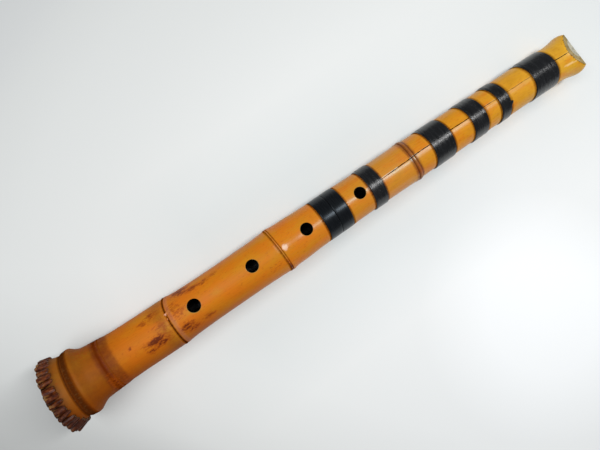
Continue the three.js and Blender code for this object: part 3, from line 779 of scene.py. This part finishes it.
# --- Bore lining of the upper half ----------------------------------------------------------------
# The same paste and lacquer, built up from the tenon to the blowing edge, where it is cut off along
# with the bevel and makes room for the inlay. The fourth finger hole and the thumb hole go through it.
upper_lining = turn("mouth_half_lacquered_bore", fair_line([(275.37, 9.45), (LENGTH, 10.3)], 6) + [
    (LENGTH, 11.4), (275.37, 10.65)], sides=96)
upper_lining.data.materials.append(lacquer)
for hole in UPPER_HOLES:
    carve(upper_lining, hole_drill(*hole))
lay_on_stem(upper_lining)
slice_off(upper_lining, BEVEL_EDGE, bevel_normal)
carve(upper_lining, inlay_blank(*INLAY_POCKET))
note_stem(upper_lining)
settle(upper_lining, "upper_half", "bore_lacquer", "upper_bore_lining")

# --- Upper joint band -----------------------------------------------------------------------------
# The second ring of black horn, turned like the first and let into the end of the mouth half. The two
# meet in a fine seam.
joint_ring("mouth_half_joint_ring", 257.17, "upper_half", "upper_joint_band")

# --- Tape bands -----------------------------------------------------------------------------------
# Five bands of black vinyl tape wound round the upper half, where the bamboo has cracked. Each is a
# few turns, not quite one over the other, and ends in a step as high as the tape is thick.
vinyl, tree, shader = new_material("black_vinyl_tape", IOR=1.53, Specular_IOR_Level=0.36)
stem = add(tree, "Attribute", attribute_name="stem", out="Vector")
grain = add(tree, "TexNoise", {0: stem, "Scale": 1.6, "Detail": 4})
round_place = add(tree, "Mapping", {0: stem, 3: (0.5, 0.1, 0.1)})
drawn = add(tree, "TexNoise", {0: round_place, "Scale": 0.9, "Detail": 6, "Roughness": 0.6})
tone = add(tree, "ValToRGB", {0: drawn}, [(0.3, "#0a0b0c"), (0.75, "#191a1c")])
# pale bluish-grey specks scattered over the tape
speck_level = add(tree, "TexNoise", {0: stem, "Scale": 1.1, "Detail": 2})
speck_share = add(tree, "MapRange", {0: speck_level, 1: 0.72, 2: 0.76, 3: 0, 4: 0.5})
specked = add(tree, "Mix", {0: speck_share, 6: tone, 7: colour("#8c8c90")}, data_type="RGBA", out=2)
tree.links.new(specked, shader.inputs["Base Color"])
sheen = add(tree, "MapRange", {0: drawn, 1: 0.3, 2: 0.7, 3: 0.14, 4: 0.32})
tree.links.new(sheen, shader.inputs["Roughness"])
height = add(tree, "Math", {0: grain, 1: 0.3, 2: drawn}, operation="MULTIPLY_ADD")
relief = add(tree, "Bump", {"Strength": 0.5, "Distance": 0.5 * MM, "Height": height})
tree.links.new(relief, shader.inputs["Normal"])

TAPE_BANDS = [
    # middle, width, where the tape ends in degrees from the top towards -Y, how far its turns stray, how
    # far the turns below show beyond the root-side edge on the +Y side, how far a corner hangs over
    (299.8, 12.9, 200, 0.25, 2.6, 0), (372.9, 22.0, 155, 0.35, 4, 0), (415.2, 16.8, 250, 0.3, 3, 0),
    (445.8, 11.6, 25, 0.25, 2.6, 2.9), (497.3, 29.3, 22, 0.4, 6.5, 0),
]
TAPE_STEP = 0.22  # how high the tape's end stands on the turn below
OUTER_TURN = 0.365  # how far above the bamboo the outermost turn begins
TAPE_SIDES = 120
last_side = TAPE_SIDES - 1
for number, (middle, width, end_turn, stray, below, corner) in enumerate(TAPE_BANDS, 1):
    left, right = -width / 2, width / 2
    seat = np.interp(middle, line_x, line_radius) + 0.05
    lower = [(left, 0), (left, 0.22), (left + 0.06, 0.32), (left + 0.25, 0.36)]
    upper = [(left + 0.3, 0.37), (left + 0.34, 0.55), (left + 0.45, 0.63)]
    top = [(x, 0.66 + 0.03 * math.sin(x)) for x in np.linspace(left + 1, right - 1, 11)]
    profile = lower + upper + top + [(-x, height) for x, height in (lower + upper)[::-1]]
    outline = [(middle + x, seat + height) for x, height in profile]
    band = turn(f"vinyl_tape_band_{number}", outline, TAPE_SIDES)
    band.data.materials.append(vinyl)
    places = places_of(band)
    x, y, z = places.T
    turned_by = np.degrees(np.arctan2(-y, z)) - end_turn
    side = np.round(turned_by / (360 / TAPE_SIDES)) % TAPE_SIDES
    # the last side falls steeply back to where the tape began
    angle = np.radians(end_turn + np.where(side == last_side, 359.6, side * 360 / last_side))
    radius = np.hypot(y, z)
    outer = radius > seat + OUTER_TURN
    radius = radius + np.where(outer, TAPE_STEP * side / last_side, 0)
    radius = radius + np.interp(x, line_x, line_radius) - np.interp(middle, line_x, line_radius)
    edge = np.clip((np.abs(x - middle) - width / 2 + 1.2) / 1.2, 0, 1) * np.sign(x - middle)
    share = np.clip((middle - x) / (width / 2 - 0.3), 0, 1)
    hang = np.clip(1 - np.abs(np.degrees(angle) - 29.5) / 9, 0, 1) * np.clip(edge, 0, 1)
    wander = np.sin(angle + number) * 0.5 + 0.3 * np.sin(3 * angle + 2 * number) - 0.5
    x = x + stray * edge * wander * np.where(outer, 1, 0.4)
    x = x + np.where(outer, below * share * np.clip(-np.sin(angle), 0, 1) ** 3, 0) + corner * hang
    move_to(band, np.column_stack([x, -radius * np.sin(angle), radius * np.cos(angle)]))
    lay_on_stem(band)
    note_stem(band)
    settle(band, "upper_half", "tape_black", f"tape_band_{number}")

# --- Horn inlay -----------------------------------------------------------------------------------
# Half disc of pale water-buffalo horn let into the bevel. It forms the hard blowing edge, and is filed
# flush with the bevel, the bore and the end.
horn, tree, shader = new_material("pale_buffalo_horn", IOR=1.55, Coat_Weight=0.4, Coat_Roughness=0.1)
stem = add(tree, "Attribute", attribute_name="stem", out="Vector")
band_place = add(tree, "Mapping", {0: stem, 3: (0.25, 0.5, 1.2)})
band_level = add(tree, "TexNoise", {0: band_place, "Scale": 0.5, "Detail": 4, "Distortion": 0.6})
tone = add(tree, "ValToRGB", {0: band_level}, [(0.3, "#77704c"), (0.72, "#c9c0a2"), (0.5, "#aca282")])
tree.links.new(tone, shader.inputs["Base Color"])
gloss = add(tree, "MapRange", {0: band_level, 3: 0.24, 4: 0.36})
tree.links.new(gloss, shader.inputs["Roughness"])

inlay = inlay_blank(9.6, 3, 0)
inlay.name = inlay.data.name = "horn_blowing_edge"
inlay.data.materials.append(horn)
slice_off(inlay, MOUTH, np.array([1, 0, 0]))
bore_air = turn("bore_air", [(500, 0), (500, 10.16), (560, 10.35), (560, 0)], sides=96)
lay_on_stem(bore_air)
carve(inlay, bore_air)
note_stem(inlay)
settle(inlay, "upper_half", "horn", "horn_inlay")

# --- Table, light and camera ----------------------------------------------------------------------
# A pale matt table top in a bright room. One long soft lamp hangs overhead on the mouth side and gives
# the streak along the upper half, and one large soft lamp stands high on the root side. The camera
# stands above the root half with a wide lens.

# Matt laminate, near white under the lamps. Its colour holds painted light and shade: a painted pool of light
# that falls off towards the root end's corner and the edges, painted shade towards that corner and edge, and
# a painted shadow beside the flute.
table, tree, shader = new_material("pale_table_painted_light", Roughness=0.9)
place = add(tree, "TexCoord", out="Object")
speck = add(tree, "TexNoise", {0: place, "Scale": 400, "Detail": 3})
centred = add(tree, "Mapping", {0: place, 1: (-0.105, 0.19, 0)})
spread = add(tree, "VectorMath", {0: centred}, operation="LENGTH", out="Value")
# painted light: a pool of light round a point beside the flute's middle, falling off outwards
light_pool = add(tree, "ValToRGB", {0: spread}, [
    (0, "#fcfefe"), (0.7, "#bcbfbe"), (0.055, "#fafcfc"), (0.12, "#eff1f0"), (0.27, "#eceeec"),
    (0.33, "#e9ebe9"), (0.36, "#e6e8e6"), (0.42, "#e1e3e1"), (0.48, "#dddfdd"), (0.52, "#d8dad8"),
    (0.55, "#d2d4d3"),
])
# painted shade towards the root end's corner
toward_corner = add(
    tree, "VectorMath", {0: place, 1: (-0.8, -0.6, 0)}, operation="DOT_PRODUCT", out="Value")
corner_shade = add(tree, "ValToRGB", {0: toward_corner}, [
    (0.16, "#ffffff"), (0.33, "#c8c8c8"), (0.2, "#fafafa"), (0.2255, "#f4f4f4"), (0.2485, "#e2e2e2"),
    (0.27, "#d8d8d8"),
])
# painted shade towards the table's edge on the -X, -Y side
toward_edge = add(
    tree, "VectorMath", {0: place, 1: (-0.57, -0.822, 0)}, operation="DOT_PRODUCT", out="Value")
fading = add(tree, "MapRange", {0: toward_edge, 1: 0.058, 2: 0.209, 3: 1, 4: 0.89})
edge_shaded = add(tree, "Mix", {0: 1, 6: light_pool, 7: fading}, data_type="RGBA", blend_type="MULTIPLY", out=2)
lit_table = add(tree, "Mix", {0: 1, 6: edge_shaded, 7: corner_shade}, data_type="RGBA", blend_type="MULTIPLY", out=2)
# painted shadow along both sides of the flute's middle part
along, aside, _ = add(tree, "SeparateXYZ", {0: place}, out=slice(3))
off_line = add(tree, "Math", {0: aside}, operation="ABSOLUTE")
flute_shadow = add(tree, "MapRange", {0: off_line, 1: 0.05, 2: 0.12, 3: 1, 4: 0})
run = add(tree, "MapRange", {0: along, 1: -0.27, 2: 0.27})
middle_part = add(tree, "ValToRGB", {0: run}, [
    (0.13, "#000000"), (0.8, "#b0b0b0"), (0.28, "#ffffff"), (0.6, "#ffffff"),
])
flute_shadow_share = add(tree, "Math", {0: flute_shadow, 1: middle_part}, operation="MULTIPLY")
shaded = add(
    tree, "Mix", {0: flute_shadow_share, 6: lit_table, 7: colour("#f1f4f5")}, data_type="RGBA",
    blend_type="MULTIPLY", out=2)
tree.links.new(shaded, shader.inputs["Base Color"])
faint = add(tree, "Bump", {"Strength": 0.05, "Distance": 0.05 * MM, "Height": speck})
tree.links.new(faint, shader.inputs["Normal"])
bpy.ops.object.select_all(action="DESELECT")
bpy.ops.mesh.primitive_plane_add(size=6)
floor = bpy.context.object
floor.name = floor.data.name = "table_top"
floor.data.materials.append(table)

world = bpy.data.worlds.new("bright_room")
bpy.context.scene.world = world
world.use_nodes = True
world.node_tree.nodes["Background"].inputs["Color"].default_value = colour("#f2f7ff")
world.node_tree.nodes["Background"].inputs["Strength"].default_value = 0.23


def soft_lamp(name, place, target, length, width, power):
    """A rectangular lamp that faces a point, with its long side in line with the flute."""
    lamp = bpy.data.objects.new(name, bpy.data.lights.new(name, "AREA"))
    bpy.context.scene.collection.objects.link(lamp)
    lamp.data.shape, lamp.data.size, lamp.data.size_y = "RECTANGLE", length, width
    lamp.data.energy = power
    back = (Vector(place) - Vector(target)).normalized()
    side = back.cross((1, 0, 0)).normalized()
    lamp.matrix_world = Matrix((side.cross(back), side, back)).transposed().to_4x4()
    lamp.location = place


soft_lamp("ceiling_lamp", place=(0.72, -0.16, 1.5), target=(0.05, 0, 0), length=0.95, width=0.26, power=15)
soft_lamp("window", place=(-0.9, 0.16, 1.6), target=(0, 0, 0), length=1, width=1.2, power=16)

camera = bpy.data.objects.new("camera", bpy.data.cameras.new("camera"))
bpy.context.scene.collection.objects.link(camera)
bpy.context.scene.camera = camera
camera.data.lens, camera.data.sensor_width = 27, 36
camera.location = (-0.1047, -0.01937, 0.4043)
camera.rotation_euler = [math.radians(a) for a in (8.4146648, -5.6732024, -34.7515981)]
bpy.context.scene.view_settings.view_transform = "Standard"
